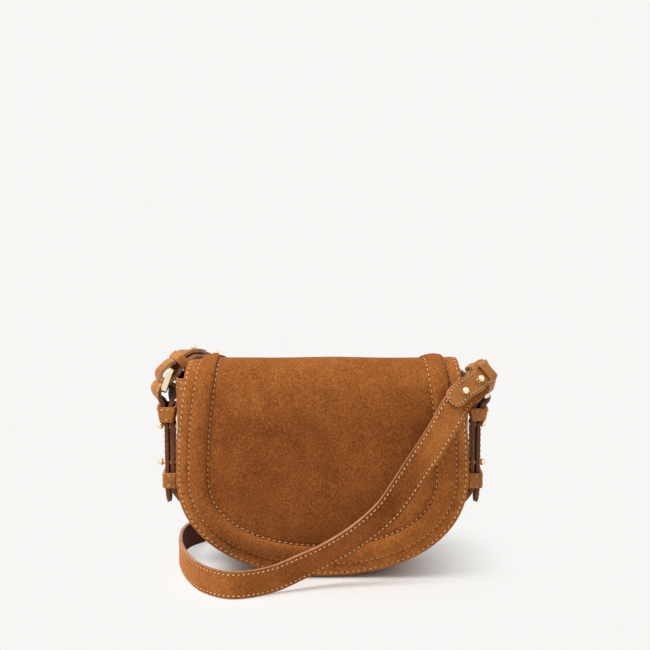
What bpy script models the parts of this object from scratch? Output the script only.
"""Saddle-shaped satchel: a soft body under a wide flap, with a shoulder strap laid round it.

Metres, +Z up, +X to the viewer's right, the front faces -Y.
The origin is on the floor under the middle of the bag.
"""

import math

import bmesh
import bpy
import numpy as np

MM = 0.001

# Body
body_half_width = 113.5 * MM
body_mouth_half_width = 110.0 * MM
body_depth = 58.0 * MM
widest_level = 85.0 * MM
base_cut = 2.0 * MM
back_panel_top = 162.0 * MM
front_panel_top = 148.0 * MM
gusset_bulge = 5.1 * MM
gusset_dip = 7.5 * MM
gusset_mouth_draw = 1.5 * MM
gusset_thick = 2.0 * MM
panel_thick = 2.2 * MM
lining_thick = 0.9 * MM
lining_top = 146.0 * MM
outline_power = 2.2
gusset_power = 2.5

# Slip pocket on the inside of the back
pocket_width = 120.0 * MM
pocket_height = 80.0 * MM
pocket_rise = 45.0 * MM
pocket_swell = 7.0 * MM
pocket_thick = 1.0 * MM

# Flap
flap_half_width = 117.3 * MM
flap_fold_half_width = 112.2 * MM
flap_rear_half_width = 104.5 * MM
flap_floor_gap = 2.0 * MM
flap_thick = 2.0 * MM
flap_fold_level = 154.0 * MM
fold_radius = 24.0 * MM
rear_fold_radius = 6.0 * MM
flap_slope = math.radians(13.0)
anchor_height = 18.0 * MM
lining_inset = 1.0 * MM
roll_width = 14.0 * MM
roll_height = 4.5 * MM
roll_inset = 17.5 * MM

# Magnetic snap
magnet_radius = 7.5 * MM
magnet_thick = 2.4 * MM
magnet_level = 48.0 * MM

# How far out the side straps hang, clear of the widest part of the side, and the rings beyond them
side_clearance = 11.7 * MM
side_offset = max(body_half_width, body_mouth_half_width) + side_clearance
ring_stand = {"left": 3.8 * MM, "right": 3.3 * MM}
ring_offset = {word: side_offset + stand for word, stand in ring_stand.items()}

# Rings that carry the strap
ring_bar_wide = 4.4 * MM
ring_bar_thick = 3.2 * MM
ring_inner_width = 22.0 * MM
ring_rise = 18.5 * MM
ring_corner = 4.5 * MM
ring_bar_chamfer = 0.8 * MM
ring_play = 1.6 * MM
ring_level = {"left": 149.0 * MM, "right": 143.0 * MM}
ring_lean = {"left": math.radians(20.0), "right": math.radians(10.0)}
ring_yaw = {"left": 0.0, "right": math.radians(8.0)}

# Side straps
side_strap_width = 20.0 * MM
side_strap_thick = 3.2 * MM
layer_gap = 1.4 * MM
side_loop_radius = {"left": 8.2 * MM, "right": 7.2 * MM}
side_tail_level = 53.0 * MM
side_anchor_level = 52.0 * MM
side_foot_level = 37.0 * MM
upper_keeper_level = 129.3 * MM
lower_keeper_level = 74.0 * MM
inner_spread = 0.8 * MM
outer_spread = 3.6 * MM
below_keeper_share = 0.62
loop_overturn = math.radians(28.0)
tail_draw = 1.2 * MM
strap_stand = 0.7 * MM

# Keepers
keeper_height = 12.8 * MM
keeper_wall = 1.8 * MM
upper_keeper_ease = 2.4 * MM
keeper_corner = 0.3 * MM
strap_keeper_height = 9.5 * MM

# Ball studs
ball_radius = 2.8 * MM
ball_top_radius = 0.4 * MM
neck_radius = 1.6 * MM
stud_neck_length = 2.4 * MM
flange_radius = 4.0 * MM
flange_thick = 0.7 * MM
screw_radius = 1.3 * MM
screw_head_radius = 4.0 * MM
screw_head_thick = 0.9 * MM
upper_side_stud_level = 116.0 * MM
lower_side_stud_level = 87.0 * MM

# Shoulder strap
strap_width = 21.5 * MM
strap_thick = 3.0 * MM
strap_floor_gap = 0.6 * MM
tab_width = 18.5 * MM
tab_length = 45.0 * MM
neck_width = 13.0 * MM
neck_length = 24.0 * MM
neck_spread = 22.0 * MM
strap_loop_radius = 5.9 * MM
strap_step = 6.0 * MM
end_step = 2.5 * MM
loop_spread = 13.0 * MM
keeper_ease = 3.8 * MM
keeper_side_ease = 2.2 * MM

# Gap between touching pieces, and the play of a shaft in its hole
seat_gap = 0.3 * MM
hole_play = 0.4 * MM

# Fineness of the round forms
outline_steps = 26
fold_steps = 7
round_sides = 12
disc_sides = 24
depth_steps = 8
loop_steps = 8
span_steps = 12
ball_steps = 6
ring_corner_steps = 4
keeper_corner_steps = 3
anchor_steps = 4
round_tip_share = 0.12
sharp_angle = math.radians(40.0)
merge_distance = 0.001 * MM
shortest_span = 1.0 * MM

# Where the strap ends run, as shares of their reach from the ring's upper bar.
# Each row is a place, then the direction across the strap.
end_reach = 60.0 * MM
end_shares = {
    "right": [
        (-0.015, 0.000, -0.048, 0.14, -0.99, 0.00),
        (0.015, -0.002, 0.037, 0.14, -0.99, 0.00),
        (0.048, -0.012, 0.117, 0.20, -0.95, -0.20),
        (0.097, -0.093, 0.203, 0.45, -0.55, -0.70),
        (0.100, -0.243, 0.190, 0.60, -0.20, -0.77),
        (0.040, -0.417, 0.077, 0.70, -0.15, -0.69),
        (-0.050, -0.575, 0.018, 0.74, -0.02, -0.67),
        (-0.187, -0.730, -0.040, 0.74, 0.02, -0.67),
        (-0.300, -0.858, -0.097, 0.74, 0.02, -0.67),
        (-0.433, -1.030, -0.210, 0.76, 0.05, -0.65),
    ],
    "left": [
        (-0.035, 0.000, -0.055, 0.00, 1.00, 0.00),
        (0.010, 0.000, 0.017, 0.00, 1.00, 0.00),
        (0.043, 0.008, 0.073, -0.05, 0.99, 0.00),
        (0.117, 0.028, 0.200, -0.10, 0.98, 0.00),
        (0.150, 0.040, 0.270, -0.12, 0.98, 0.00),
        (0.182, 0.142, 0.290, -0.60, 0.75, 0.00),
        (0.215, 0.293, 0.250, -0.95, 0.30, 0.00),
        (0.215, 0.450, 0.157, -0.95, 0.20, 0.00),
        (0.245, 0.617, 0.077, -0.90, 0.40, 0.00),
        (0.386, 0.767, 0.002, -0.70, 0.70, 0.00),
        (0.570, 0.858, -0.081, -0.50, 0.86, 0.00),
        (0.728, 0.933, -0.156, -0.50, 0.86, 0.00),
    ],
}
end_trim_shares = {"right": (0.42, (0.60, 0.83)), "left": (0.122, (0.60, 0.82))}

# Where the strap runs between its ends, as shares of the flap's half width, of how far the
# rolls stand forward and of the fold's level above a strap that stands on the floor.
# Each row is a place, then the direction across the strap.
route_shares = [
    (0.800, -1.265, 0.767, 0.88, 0.10, -0.38),
    (0.730, -1.218, 0.664, 0.88, 0.05, -0.47),
    (0.657, -1.194, 0.573, 0.86, 0.10, -0.50),
    (0.537, -1.218, 0.426, 0.80, 0.15, -0.58),
    (0.430, -1.265, 0.318, 0.70, 0.25, -0.66),
    (0.240, -1.335, 0.196, 0.50, 0.33, -0.80),
    (0.017, -1.429, 0.098, 0.30, 0.33, -0.89),
    (-0.138, -1.546, 0.050, 0.18, 0.22, -0.95),
    (-0.344, -1.780, 0.003, 0.00, 0.05, -1.00),
    (-0.602, -2.061, 0.000, 0.00, 0.00, -1.00),
    (-0.787, -1.733, 0.000, 0.00, 0.00, -1.00),
    (-0.923, -1.030, 0.000, 0.00, 0.00, -1.00),
    (-1.007, 0.000, 0.000, 0.00, 0.00, -1.00),
    (-0.986, 0.867, 0.000, 0.00, 0.00, -1.00),
    (-0.861, 1.358, 0.000, 0.00, 0.00, -1.00),
    (-0.725, 1.991, 0.000, 0.00, 0.00, -1.00),
    (-0.384, 2.693, 0.000, 0.00, 0.00, -1.00),
    (0.043, 3.044, 0.000, 0.00, 0.00, -1.00),
    (0.384, 2.857, 0.000, 0.00, 0.00, -1.00),
    (0.529, 2.342, 0.012, 0.25, 0.10, -0.95),
    (0.500, 1.900, 0.080, 0.75, 0.10, -0.65),
    (0.358, 1.600, 0.220, 0.95, 0.00, 0.10),
    (0.128, 1.560, 0.450, 0.83, 0.00, 0.55),
    (-0.213, 1.592, 0.708, 0.75, 0.00, 0.66),
    (-0.500, 1.620, 0.880, 0.80, -0.20, 0.50),
]
seam_shares = (0.33, 0.70)
seam_rows = 2
seam_gap = 1.2 * MM

# Worked-out sizes
sides = {"left": -1, "right": 1}
body_half_depth = body_depth / 2
body_fall = widest_level + base_cut
flap_fall = widest_level - flap_floor_gap
flap_space = 2 * magnet_thick + 3 * seat_gap
flap_back = body_half_depth + flap_space
flap_inner = flap_back + lining_thick + seat_gap
flap_face = flap_inner + flap_thick
rear_face = body_half_depth + seat_gap + flap_thick
roll_face = flap_face + seat_gap + roll_height


def material(name, colour, roughness, metallic=0.0):
    made = bpy.data.materials.new(name)
    made.use_nodes = True
    shader = made.node_tree.nodes["Principled BSDF"]
    shader.inputs["Base Color"].default_value = (*colour, 1.0)
    shader.inputs["Roughness"].default_value = roughness
    shader.inputs["Metallic"].default_value = metallic
    return made


def add_object(name, mesh, finish):
    mesh.materials.clear()
    mesh.materials.append(finish)
    made = bpy.data.objects.new(name, mesh)
    bpy.context.scene.collection.objects.link(made)
    return made


def closed_mesh(name, points, faces):
    """A mesh from points and faces, with its doubles merged and its faces turned outwards."""
    mesh = bpy.data.meshes.new(name)
    mesh.from_pydata([tuple(p) for p in points], [], faces)
    work = bmesh.new()
    work.from_mesh(mesh)
    bmesh.ops.remove_doubles(work, verts=work.verts, dist=merge_distance)
    bmesh.ops.recalc_face_normals(work, faces=work.faces)
    work.to_mesh(mesh)
    work.free()
    return mesh


def skin_between_rings(name, rings, finish):
    """A closed solid through rings of as many points each, capped at both ends."""
    count = len(rings[0])
    points = [p for ring in rings for p in ring]
    faces = [list(range(count))[::-1]]
    for i in range(len(rings) - 1):
        for j in range(count):
            k = (j + 1) % count
            faces.append([i * count + j, i * count + k, (i + 1) * count + k, (i + 1) * count + j])
    faces.append([(len(rings) - 1) * count + j for j in range(count)])
    return add_object(name, closed_mesh(name, points, faces), finish)


def smooth_line(rows, per_span):
    """A smooth line through rows of numbers, as a centripetal Catmull-Rom curve."""
    rows = np.array(rows, float)
    before, after = 2 * rows[0] - rows[1], 2 * rows[-1] - rows[-2]
    knots = np.vstack([before, rows, after])
    made = []
    for i in range(1, len(knots) - 2):
        four = knots[i - 1 : i + 3]
        t = [0.0]
        for a, b in zip(four, four[1:]):
            t.append(t[-1] + max(np.linalg.norm(b[:3] - a[:3]), shortest_span) ** 0.5)
        for u in np.linspace(t[1], t[2], per_span, endpoint=False):
            a1 = four[0] * (t[1] - u) / (t[1] - t[0]) + four[1] * (u - t[0]) / (t[1] - t[0])
            a2 = four[1] * (t[2] - u) / (t[2] - t[1]) + four[2] * (u - t[1]) / (t[2] - t[1])
            a3 = four[2] * (t[3] - u) / (t[3] - t[2]) + four[3] * (u - t[2]) / (t[3] - t[2])
            b1 = a1 * (t[2] - u) / (t[2] - t[0]) + a2 * (u - t[0]) / (t[2] - t[0])
            b2 = a2 * (t[3] - u) / (t[3] - t[1]) + a3 * (u - t[1]) / (t[3] - t[1])
            made.append(b1 * (t[2] - u) / (t[2] - t[1]) + b2 * (u - t[1]) / (t[2] - t[1]))
    made.append(rows[-1])
    return np.array(made)


def even_line(rows, step):
    """The same line with its rows an even step apart."""
    lengths = np.linalg.norm(np.diff(rows[:, :3], axis=0), axis=1)
    along = np.concatenate([[0.0], np.cumsum(lengths)])
    count = max(2, int(round(along[-1] / step)) + 1)
    stations = np.linspace(0, along[-1], count)
    return np.array([np.interp(stations, along, rows[:, k]) for k in range(rows.shape[1])]).T


def unit(vectors):
    return vectors / np.linalg.norm(vectors, axis=-1, keepdims=True)


def frames(line):
    """Along, across and outward directions at each row of a line of points and across hints."""
    points, across = line[:, :3], line[:, 3:6]
    along = unit(np.gradient(points, axis=0))
    across = unit(across - along * (across * along).sum(axis=1, keepdims=True))
    return along, across, np.cross(along, across)


def ribbon(name, points, across, outward, widths, thick, finish, shift=None):
    """A flat band with square edges, along points, with its own width at each."""
    shift = np.zeros(len(points)) if shift is None else shift
    rings = []
    for p, w, n, wide, off in zip(points, across, outward, widths, shift):
        middle, half, rise = p + w * off, w * wide / 2, n * thick / 2
        under = [middle - half - rise, middle + half - rise]
        rings.append([*under, middle + half + rise, middle - half + rise])
    return skin_between_rings(name, rings, finish)


def round_end(count, wide, step):
    """Widths that close a band's end in a half circle."""
    widths = np.full(count, wide)
    reach = wide / 2
    for i in range(count):
        back = (count - 1 - i) * step
        if back < reach:
            share = max(1 - (1 - back / reach) ** 2, round_tip_share)
            widths[i] = wide * math.sqrt(share)
    return widths



def turned(name, profile, centre, axis, finish):
    """A round solid from rows of radius and height along an axis."""
    axis = unit(np.array(axis, float))
    side = unit(np.cross(axis, axis_helper(axis)))
    third = np.cross(axis, side)
    rings = []
    for radius, height in profile:
        ring = []
        for k in range(round_sides):
            turn = 2 * math.pi * k / round_sides
            ring.append(centre + axis * height + (side * math.cos(turn) + third * math.sin(turn)) * radius)
        rings.append(ring)
    made = skin_between_rings(name, rings, finish)
    made.data.shade_smooth()
    made.data.set_sharp_from_angle(angle=sharp_angle)
    return made


def axis_helper(axis):
    """A direction that is well away from the axis."""
    return np.eye(3)[int(np.argmin(np.abs(axis)))]


def plate(name, outline, near, far, finish):
    """A flat plate of an outline in X and Z, from one depth to another."""
    rings = [[(x, depth, z) for x, z in outline] for depth in (near, far)]
    return skin_between_rings(name, rings, finish)


# Outlines

def curve_below(half_width, fall, angle):
    """A point of the rounded lower outline: angle 0 is the lowest, a right angle the widest."""
    x = half_width * max(math.sin(angle), 0) ** (2 / outline_power)
    z = widest_level - fall * max(math.cos(angle), 0) ** (2 / outline_power)
    return x, z


def mirrored(right_side):
    """A whole outline from its right side, which runs from the bottom up."""
    left_side = [(-x, z) for x, z in right_side if x > 0]
    return left_side[::-1] + list(right_side)


def body_half(level):
    """The body's half width above its widest level."""
    share = (level - widest_level) / (back_panel_top - widest_level)
    return body_half_width - (body_half_width - body_mouth_half_width) * share ** 2


def body_outline(top, inset):
    """The body's outline up to a level, drawn in by an inset and cut flat at the base."""
    side = []
    for i in range(outline_steps + 1):
        angle = math.pi / 2 * i / outline_steps
        x, z = curve_below(body_half_width - inset, body_fall - inset, angle)
        if z > inset:
            side.append((x, z))
    cut_share = 1 - (1 - base_cut / body_fall) ** outline_power
    flat = (body_half_width - inset) * cut_share ** (1 / outline_power)
    side = [(flat, inset)] + [p for p in side if p[0] > flat]
    levels = np.linspace(widest_level, top, fold_steps)[1:]
    side += [(body_half(level) - inset, level) for level in levels]
    return mirrored(side)


def flap_half(level):
    """The flap's half width above its widest level, up to the fold."""
    share = (level - widest_level) / (flap_fold_level - widest_level)
    return flap_half_width - (flap_half_width - flap_fold_half_width) * share ** 2


def flap_outline(top, inset):
    side = [(0.0, flap_floor_gap + inset)]
    for i in range(1, outline_steps + 1):
        angle = math.pi / 2 * i / outline_steps
        side.append(curve_below(flap_half_width - inset, flap_fall - inset, angle))
    levels = np.linspace(widest_level, top, fold_steps)[1:]
    side += [(flap_half(level) - inset, level) for level in levels]
    return mirrored(side)


def flap_profile(depth):
    """The flap's section over the top, at a depth under its outer face.

    Rows of y, z, outward y, outward z and share of the way from front fold to rear fold.
    """
    front_y, front_z = -flap_face + fold_radius, flap_fold_level
    slope_out = np.array([math.sin(flap_slope), math.cos(flap_slope)])
    slope_down = np.array([math.cos(flap_slope), -math.sin(flap_slope)])
    rear_y = rear_face - rear_fold_radius
    start = np.array([front_y, front_z]) + fold_radius * slope_out
    run = (rear_y - start[0] + rear_fold_radius * slope_out[0]) / slope_down[0]
    stop = start + slope_down * run
    rear_z = stop[1] - rear_fold_radius * slope_out[1]
    rows = []
    sweep = math.pi / 2 + flap_slope
    for i in range(fold_steps * 2 + 1):
        turn = math.pi - sweep * i / (fold_steps * 2)
        out = np.array([math.cos(turn), math.sin(turn)])
        place = np.array([front_y, front_z]) + out * (fold_radius - depth)
        rows.append([*place, *out, fold_radius * sweep * i / (fold_steps * 2)])
    reach = fold_radius * sweep
    rear_sweep = math.pi / 2 - flap_slope
    for i in range(fold_steps + 1):
        turn = rear_sweep * (1 - i / fold_steps)
        out = np.array([math.cos(turn), math.sin(turn)])
        place = np.array([rear_y, rear_z]) + out * (rear_fold_radius - depth)
        rows.append([*place, *out, reach + run + rear_fold_radius * rear_sweep * i / fold_steps])
    rows = np.array(rows)
    rows[:, 4] /= rows[-1, 4]
    return rows, reach + run + rear_fold_radius * rear_sweep, rear_z


def top_half(share, length):
    """The flap's half width over the top, in line with its side edge at the fold."""
    slope = -2 * (flap_half_width - flap_fold_half_width) / (flap_fold_level - widest_level)
    bend = flap_rear_half_width - flap_fold_half_width - slope * length
    return flap_fold_half_width + slope * length * share + bend * share ** 2


# Body pieces

def make_body(suede, fabric):
    plate("front_panel", body_outline(front_panel_top, 0), -body_half_depth,
          -body_half_depth + panel_thick, suede)
    plate("back_panel", body_outline(back_panel_top, 0), body_half_depth - panel_thick,
          body_half_depth, suede)
    make_gusset(suede)
    make_lining(fabric)
    make_pocket(fabric)


def gusset_grid(depth):
    """Rows across the gusset, from its left mouth round the bottom to its right mouth."""
    outline = body_outline(back_panel_top, 0)
    edge = body_half_depth - panel_thick - seat_gap
    grid = []
    for x, z in outline:
        fade = min(z / widest_level, 1.0)
        swell = gusset_bulge * fade * fade * (3 - 2 * fade)
        if z > widest_level:
            rise = (z - widest_level) / (back_panel_top - widest_level)
            swell += body_half_width - body_half(z) - gusset_mouth_draw * rise ** 2
        row = []
        for j in range(depth_steps + 1):
            y = edge * (2 * j / depth_steps - 1)
            out = swell * (1 - abs(y / edge) ** gusset_power)
            row.append((x + math.copysign(out, x) if abs(x) > 0 else x, y, z))
        grid.append(row)
    grid = np.array(grid)
    if depth:
        middle = grid.mean(axis=1)
        run = np.gradient(middle, axis=0)
        inward = unit(np.stack([-run[:, 2], np.zeros(len(run)), run[:, 0]], axis=1))
        grid = grid + inward[:, None, :] * depth
    dip = gusset_dip * (1 - (grid[0, :, 1] / edge) ** 2)
    grid[0, :, 2] = grid[-1, :, 2] = back_panel_top - dip
    return grid


def make_gusset(suede):
    outer, inner = gusset_grid(0), gusset_grid(gusset_thick)
    rings = [list(a) + list(b)[::-1] for a, b in zip(outer, inner)]
    skin_between_rings("gusset", rings, suede)


def cup(name, outline_out, outline_in, depth_out, depth_in, finish):
    """A pouch open at the top: an outer and an inner shell joined along the rim."""
    count = len(outline_out)
    points = [(x, -depth_out, z) for x, z in outline_out]
    points += [(x, depth_out, z) for x, z in outline_out]
    points += [(x, -depth_in, z) for x, z in outline_in]
    points += [(x, depth_in, z) for x, z in outline_in]
    front_out, back_out, front_in, back_in = (k * count for k in range(4))
    faces = [[start + j for j in range(count)] for start in (front_out, back_out, front_in, back_in)]
    for near, far in ((front_out, back_out), (front_in, back_in)):
        faces += [[near + j, near + j + 1, far + j + 1, far + j] for j in range(count - 1)]
    last = count - 1
    for out, into in ((front_out, front_in), (back_out, back_in)):
        faces.append([out, out + last, into + last, into])
    for end in (0, last):
        faces.append([front_out + end, back_out + end, back_in + end, front_in + end])
    return add_object(name, closed_mesh(name, points, faces), finish)


def make_lining(fabric):
    gap = gusset_thick + seat_gap
    depth = body_half_depth - panel_thick - seat_gap
    cup("lining", body_outline(lining_top, gap), body_outline(lining_top, gap + lining_thick),
        depth, depth - lining_thick, fabric)


def make_pocket(fabric):
    wall_y = body_half_depth - panel_thick - seat_gap - lining_thick - seat_gap
    half, thick = pocket_width / 2, pocket_thick
    front_y = wall_y - pocket_swell
    low, high = pocket_rise, pocket_rise + pocket_height
    plan_out = [(-half, wall_y), (-half, front_y), (half, front_y), (half, wall_y)]
    plan_in = [(half - thick, wall_y), (half - thick, front_y + thick),
               (-half + thick, front_y + thick), (-half + thick, wall_y)]
    points = [(x, y, z) for z in (low, high) for x, y in plan_out]
    points += [(x, y, z) for z in (low + thick, high) for x, y in plan_in]
    faces = [[0, 1, 2, 3], [0, 1, 5, 4], [1, 2, 6, 5], [2, 3, 7, 6],
             [8, 9, 10, 11], [8, 9, 13, 12], [9, 10, 14, 13], [10, 11, 15, 14],
             [4, 5, 14, 15], [5, 6, 13, 14], [6, 7, 12, 13],
             [0, 3, 8, 11], [3, 7, 12, 8], [0, 4, 15, 11]]
    add_object("slip_pocket", closed_mesh("slip_pocket", points, faces), fabric)


# Flap pieces

def make_flap(suede, inner):
    rows, length, rear_level = flap_profile(0)
    plate("flap_anchor", [(-flap_rear_half_width, rear_level - seat_gap),
                          (-flap_rear_half_width, rear_level - anchor_height),
                          (flap_rear_half_width, rear_level - anchor_height),
                          (flap_rear_half_width, rear_level - seat_gap)],
          rear_face - flap_thick, rear_face, suede)
    make_flap_top("flap_top_skin", 0, flap_thick, 0, length, suede)
    lining_depth = flap_thick + seat_gap
    make_flap_top("flap_top_lining", lining_depth, lining_depth + lining_thick, lining_inset, length, inner)
    for side, word in ((-1, "left"), (1, "right")):
        make_top_roll(f"flap_top_roll_{word}", side, length, suede)
    top = flap_fold_level - seat_gap
    plate("flap_front_skin", flap_outline(top, 0), -flap_face, -flap_inner, suede)
    plate("flap_front_lining", flap_outline(top, lining_inset), -flap_inner + seat_gap, -flap_back, inner)
    make_front_roll(suede)


def make_flap_top(name, outer_depth, inner_depth, inset, length, finish):
    outer, _, _ = flap_profile(outer_depth)
    inner, _, _ = flap_profile(inner_depth)
    rings = []
    for out, into in zip(outer, inner):
        half = top_half(out[4], length) - inset
        rings.append([(-half, out[0], out[1]), (half, out[0], out[1]),
                      (half, into[0], into[1]), (-half, into[0], into[1])])
    skin_between_rings(name, rings, finish)


def roll_section():
    """Half of an ellipse, as rows of offset across and height, seated on its flat side."""
    count = round_sides // 2
    rows = []
    for k in range(count + 1):
        turn = math.pi * k / count
        rows.append((-math.cos(turn) * roll_width / 2, seat_gap + math.sin(turn) * roll_height))
    return rows


def make_top_roll(name, side, length, finish):
    rows, _, _ = flap_profile(0)
    rings = []
    for y, z, out_y, out_z, share in rows:
        middle = side * (top_half(share, length) - roll_inset)
        rings.append([(middle + a, y + out_y * h, z + out_z * h) for a, h in roll_section()])
    skin_between_rings(name, rings, finish)


def make_front_roll(finish):
    """The padded roll round the flap's front, seated on the skin."""
    outline = np.array(flap_outline(flap_fold_level - seat_gap, 0))
    run = unit(np.gradient(outline, axis=0))
    inward = np.stack([-run[:, 1], run[:, 0]], axis=1)
    fade = np.clip((flap_fold_level - outline[:, 1]) / (roll_inset * 2), 0, 1)
    inward[:, 1] *= fade
    inward = unit(inward)
    rings = []
    for place, across in zip(outline, inward):
        ring = []
        for a, h in roll_section():
            x, z = place + across * (roll_inset + a)
            ring.append((x, -flap_face - h, z))
        rings.append(ring)
    skin_between_rings("flap_front_roll", rings, finish)


def make_snap(metal):
    turns = [2 * math.pi * k / disc_sides for k in range(disc_sides)]
    disc = [(magnet_radius * math.cos(t), magnet_level + magnet_radius * math.sin(t)) for t in turns]
    near = -body_half_depth - seat_gap
    plate("snap_magnet_front", disc, near - magnet_thick, near, metal)
    far = -flap_back + seat_gap
    plate("snap_magnet_flap", disc, far, far + magnet_thick, metal)


# Rings and side straps

def ring_frame(word):
    """Middle of a ring's lower bar, the bar's direction and the way up to its upper bar."""
    yaw, lean, side = ring_yaw[word], ring_lean[word], sides[word]
    middle = np.array([side * ring_offset[word], 0, ring_level[word]])
    bar = np.array([-side * math.sin(yaw), math.cos(yaw), 0])
    flat = np.array([-side * math.cos(yaw), -math.sin(yaw), 0])
    return middle, bar, flat * math.sin(lean) + np.array([0, 0, math.cos(lean)])


def make_ring(word, metal):
    """A rectangular ring of flat bar with rounded corners."""
    middle, bar, up = ring_frame(word)
    face = np.cross(bar, up)
    half_wide = (ring_inner_width + ring_bar_thick) / 2
    centre = middle + up * ring_rise / 2
    rings = []
    for quarter in range(4):
        for k in range(ring_corner_steps + 1):
            turn = math.pi / 2 * (quarter + k / ring_corner_steps)
            sign_a = 1 if quarter in (0, 3) else -1
            sign_b = 1 if quarter in (0, 1) else -1
            a = sign_a * (half_wide - ring_corner) + ring_corner * math.cos(turn)
            b = sign_b * (ring_rise / 2 - ring_corner) + ring_corner * math.sin(turn)
            out = bar * math.cos(turn) + up * math.sin(turn)
            place = centre + bar * a + up * b
            rings.append([place + out * p + face * q for p, q in bar_section()])
    count = len(rings[0])
    points = [p for ring in rings for p in ring]
    faces = []
    for i in range(len(rings)):
        n = (i + 1) % len(rings)
        for j in range(count):
            k = (j + 1) % count
            faces.append([i * count + j, i * count + k, n * count + k, n * count + j])
    name = f"ring_{word}"
    made = add_object(name, closed_mesh(name, points, faces), metal)
    made.data.shade_smooth()


def bar_section():
    """The flat bar's section with its corners taken off."""
    p, q = ring_bar_thick / 2, ring_bar_wide / 2
    cut = ring_bar_chamfer
    return [(p, q - cut), (p - cut, q), (-p + cut, q), (-p, q - cut),
            (-p, -q + cut), (-p + cut, -q), (p - cut, -q), (p, -q + cut)]


def side_layers(word):
    """Middle line of the side strap: up from the gusset, round the ring's bar and down to the tail."""
    side, radius = sides[word], side_loop_radius[word]
    inner_off = side_offset - (side_strap_thick + layer_gap) / 2
    outer_off = side_offset + (side_strap_thick + layer_gap) / 2
    straight_top = upper_side_stud_level + flange_radius
    keeper_low = upper_keeper_level - keeper_height / 2
    keeper_high = upper_keeper_level + keeper_height / 2
    below_keeper = lower_keeper_level - keeper_height * below_keeper_share
    stand = side_strap_thick / 2 + strap_stand
    foot_levels = np.linspace(side_foot_level, side_anchor_level, anchor_steps)
    rows = [(gusset_at(level) + stand, level) for level in foot_levels]
    rows += [(inner_off, level) for level in (below_keeper, lower_keeper_level, lower_side_stud_level,
                                              upper_side_stud_level, straight_top)]
    rows += [(inner_off + inner_spread, level) for level in (keeper_low, keeper_high)]
    ring_mid, _, _ = ring_frame(word)
    drop = radius - side_strap_thick / 2 - ring_bar_wide / 2 - ring_play
    loop_x, loop_z = abs(ring_mid[0]), ring_mid[2] - drop
    for k in range(loop_steps + 1):
        turn = math.pi * (1 - k / loop_steps) + loop_overturn * (1 - 2 * k / loop_steps)
        rows.append((loop_x + math.cos(turn) * radius, loop_z + math.sin(turn) * radius))
    rows += [(outer_off + outer_spread, level) for level in (keeper_high, keeper_low)]
    rows += [(outer_off, level) for level in (straight_top, upper_side_stud_level, lower_side_stud_level,
                                              lower_keeper_level, below_keeper)]
    rows.append((outer_off - tail_draw, side_tail_level))
    return [(side * x, 0, z, 0, 1, 0) for x, z in rows]


def gusset_at(level):
    """How far out the middle of the gusset stands at a level under its widest one."""
    share = (widest_level - level) / body_fall
    half = body_half_width * (1 - share ** outline_power) ** (1 / outline_power)
    fade = level / widest_level
    return half + gusset_bulge * fade * fade * (3 - 2 * fade)


def make_side_strap(word, finish):
    line = even_line(smooth_line(side_layers(word), span_steps), end_step)
    _, across, outward = frames(line)
    widths = round_end(len(line), side_strap_width, end_step)
    return ribbon(f"side_strap_{word}", line[:, :3], across, outward, widths, side_strap_thick, finish)


def keeper(name, middle, along, across, outward, inner_across, inner_out, height, finish):
    """A closed band round two layers: a rounded rectangle, open along the strap."""
    def loop(grow, shift):
        half_a, half_b = inner_across / 2 + grow, inner_out / 2 + grow
        round_by = keeper_corner + grow
        ring = []
        for sign_a, sign_b, first in ((1, 1, 0), (-1, 1, 1), (-1, -1, 2), (1, -1, 3)):
            for k in range(keeper_corner_steps + 1):
                turn = math.pi / 2 * (first + k / keeper_corner_steps)
                a = sign_a * (half_a - round_by) + round_by * math.cos(turn)
                b = sign_b * (half_b - round_by) + round_by * math.sin(turn)
                ring.append(middle + across * a + outward * b + along * shift)
        return ring
    loops = [loop(0, -height / 2), loop(keeper_wall, -height / 2),
             loop(keeper_wall, height / 2), loop(0, height / 2)]
    count = len(loops[0])
    points = [p for ring in loops for p in ring]
    faces = []
    for i in range(4):
        n = (i + 1) % 4
        for j in range(count):
            k = (j + 1) % count
            faces.append([i * count + j, i * count + k, n * count + k, n * count + j])
    return add_object(name, closed_mesh(name, points, faces), finish)


def make_side_keepers(word, side, finish):
    along, across = np.array([0, 0, 1.0]), np.array([0, 1.0, 0])
    outward = np.array([side, 0, 0.0])
    two_layers = 2 * side_strap_thick + 2 * seat_gap
    wide = side_strap_width + 2 * seat_gap
    middle = np.array([side * side_offset, 0, lower_keeper_level])
    keeper(f"side_keeper_lower_{word}", middle, along, across, outward, wide,
           two_layers + layer_gap, keeper_height, finish)
    centre = side_offset + (inner_spread + outer_spread) / 2
    middle = np.array([side * centre, 0, upper_keeper_level])
    keeper(f"side_keeper_upper_{word}", middle, along, across, outward, wide,
           two_layers + layer_gap + outer_spread - inner_spread + upper_keeper_ease, keeper_height, finish)


# Ball studs

def stud_profile(upper_thick):
    """Radius and height of a ball stud above the outer face of the layer it is screwed to."""
    top = flange_thick + seat_gap
    neck_top = top + upper_thick + stud_neck_length
    rows = [(flange_radius, seat_gap), (flange_radius, top), (neck_radius, top), (neck_radius, neck_top)]
    middle = neck_top + math.sqrt(ball_radius ** 2 - neck_radius ** 2)
    start = math.asin(-(middle - neck_top) / ball_radius)
    for k in range(1, ball_steps):
        rise = start + (math.pi / 2 - start) * k / ball_steps
        rows.append((ball_radius * math.cos(rise), middle + ball_radius * math.sin(rise)))
    rows.append((ball_top_radius, middle + ball_radius))
    return rows


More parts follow.
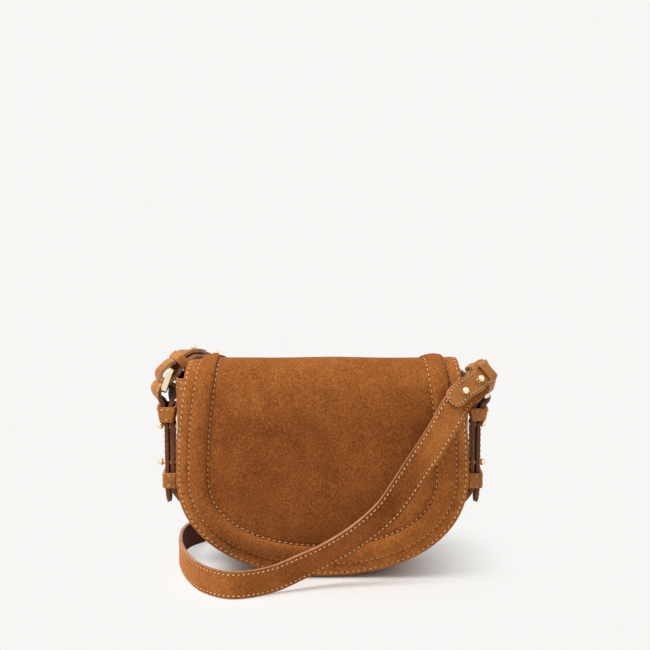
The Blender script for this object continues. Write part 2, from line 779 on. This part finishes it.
def drill(target, centre, axis, radius, depth_low, depth_high):
    """A round hole through one layer of a strap."""
    cutter = turned(f"{target.name}_drill", [(radius, depth_low), (radius, depth_high)], centre, axis,
                    target.data.materials[0])
    cutter.hide_render = True
    cutter.display_type = "WIRE"
    cut = target.modifiers.new("hole", "BOOLEAN")
    cut.operation = "DIFFERENCE"
    cut.solver = "EXACT"
    cut.object = cutter


def make_stud(name, strap, face_point, outward, lower_thick, upper_thick, metal):
    """A ball stud through the outer layer and its screw through the inner one.

    face_point is on the outer face of the inner layer.
    """
    turned(f"{name}_stud", stud_profile(upper_thick), face_point, outward, metal)
    back = -lower_thick - seat_gap
    turned(f"{name}_screw", [(screw_head_radius, back - screw_head_thick), (screw_head_radius, back),
                             (screw_radius, back), (screw_radius, 0)], face_point, outward, metal)
    middle_gap = layer_gap / 2
    drill(strap, face_point, outward, neck_radius + hole_play, middle_gap, layer_gap + upper_thick * 2)
    drill(strap, face_point, outward, screw_radius + hole_play, -lower_thick * 2, middle_gap)


def make_side_studs(word, side, strap, metal):
    outward = np.array([side, 0, 0.0])
    face = side * (side_offset - layer_gap / 2)
    for level, place in ((upper_side_stud_level, "upper"), (lower_side_stud_level, "lower")):
        make_stud(f"side_{place}_{word}", strap, np.array([face, 0, level]), outward,
                  side_strap_thick, side_strap_thick, metal)


# Shoulder strap

def end_lines(word):
    """The strap end's middle line between its two layers, and its frame, from the ring to the tip."""
    ring_mid, _, up = ring_frame(word)
    top_bar = ring_mid + up * ring_rise
    rows = [(*(top_bar + np.array(row[:3]) * end_reach), *row[3:]) for row in end_shares[word]]
    line = even_line(smooth_line(rows, span_steps), end_step)
    along, across, outward = frames(line)
    return line[:, :3], along, across, outward


def end_layers(word):
    """The under layer, the turn round the bar and the tab above, as rows of points and across."""
    points, along, across, outward = end_lines(word)
    stations = np.arange(len(points)) * end_step
    share = np.clip(1 - stations / loop_spread, 0, 1)
    half = (strap_thick + layer_gap) / 2
    rise = half + (strap_loop_radius - half) * share * share * (3 - 2 * share)
    under = points - outward * rise[:, None]
    above = points + outward * rise[:, None]
    centre = points[0]
    turn_rows = []
    for k in range(1, loop_steps):
        turn = math.pi * k / loop_steps
        off = -outward[0] * math.cos(turn) - along[0] * math.sin(turn)
        turn_rows.append(centre + off * strap_loop_radius)
    under = np.hstack([under, across])
    above = np.hstack([above, across])
    turn_rows = np.hstack([turn_rows, np.tile(across[0], (len(turn_rows), 1))])
    return under, turn_rows, above


def make_strap_end(word, finish):
    """A strap's end: up under the tab, round the ring's bar and back over itself as the tab."""
    under, turn_rows, above = end_layers(word)
    kept = under[: len(under) - seam_rows]
    whole = np.vstack([kept[::-1], turn_rows, above])
    across = whole[:, 3:6]
    points = whole[:, :3]
    along = unit(np.gradient(points, axis=0))
    across = unit(across - along * (across * along).sum(axis=1, keepdims=True))
    outward = np.cross(along, across)
    count = len(points)
    from_bar = np.abs(np.arange(count) - len(kept) - len(turn_rows) / 2) * end_step
    spread = np.clip((from_bar - neck_length) / neck_spread, 0, 1)
    widths = neck_width + (strap_width - neck_width) * spread
    tab_rows = int(round(tab_length / end_step))
    tab = round_end(count, tab_width, end_step)
    widths[-tab_rows:] = np.minimum(widths[-tab_rows:], tab[-tab_rows:])
    return ribbon(f"strap_end_{word}", points, across, outward, widths, strap_thick, finish)


def end_place(word, share):
    """Place and frame on a strap end's middle line, at a share of its length."""
    points, along, across, outward = end_lines(word)
    k = int(round(share * (len(points) - 1)))
    return points[k], along[k], across[k], outward[k]


def make_end_trim(word, strap, smooth, metal):
    keeper_share, stud_shares = end_trim_shares[word]
    middle, along, across, outward = end_place(word, keeper_share)
    keeper(f"strap_keeper_{word}", middle, along, across, outward, strap_width + keeper_side_ease,
           2 * strap_thick + layer_gap + keeper_ease, strap_keeper_height, smooth)
    for share, place in zip(stud_shares, ("upper", "lower")):
        middle, _, _, outward = end_place(word, share)
        make_stud(f"strap_{place}_{word}", strap, middle - outward * layer_gap / 2, outward,
                  strap_thick, strap_thick, metal)


def make_strap(finish):
    """The long strap, from under the right tab over the front, round on the floor and up the back."""
    right, _, _ = end_layers("right")
    left, _, _ = end_layers("left")
    left[:, 3:6] *= -1
    floor = strap_width / 2 + strap_floor_gap
    rows = [tuple(row) for row in right[-seam_rows - 1 :]]
    for x, y, z, out_x, out_y, out_z in route_shares:
        rows.append((x * flap_half_width, y * roll_face, floor + z * flap_fold_level, out_x, out_y, out_z))
    rows += [tuple(row) for row in left[-seam_rows - 1 :][::-1]]
    line = even_line(smooth_line(rows, span_steps), strap_step)
    _, across, outward = frames(line)
    points = line[:, :3]
    cuts = [0] + [int(round(share * (len(points) - 1))) for share in seam_shares] + [len(points) - 1]
    for name, first, last in zip(("strap_front", "strap_floor_loop", "strap_rear"), cuts, cuts[1:]):
        part = points[first : last + 1].copy()
        part[0] += unit(part[1] - part[0]) * (seat_gap if first else seam_gap)
        part[-1] += unit(part[-2] - part[-1]) * (seam_gap if last == cuts[-1] else seat_gap)
        ribbon(name, part, across[first : last + 1], outward[first : last + 1],
               np.full(len(part), strap_width), strap_thick, finish)


def main():
    for old in list(bpy.data.objects):
        bpy.data.objects.remove(old)
    suede = material("tan_suede", (0.36, 0.115, 0.028), 0.85)
    inner = material("brown_leather", (0.06, 0.02, 0.01), 0.5)
    smooth = material("tan_leather", (0.46, 0.15, 0.045), 0.6)
    fabric = material("lining_cloth", (0.22, 0.13, 0.07), 0.9)
    metal = material("pale_gold", (0.83, 0.69, 0.45), 0.2, 1.0)
    make_body(suede, fabric)
    make_flap(suede, inner)
    make_snap(metal)
    for word, side in sides.items():
        make_ring(word, metal)
        strap = make_side_strap(word, suede)
        make_side_keepers(word, side, smooth)
        make_side_studs(word, side, strap, metal)
        strap_end = make_strap_end(word, suede)
        make_end_trim(word, strap_end, smooth, metal)
    make_strap(suede)


main()
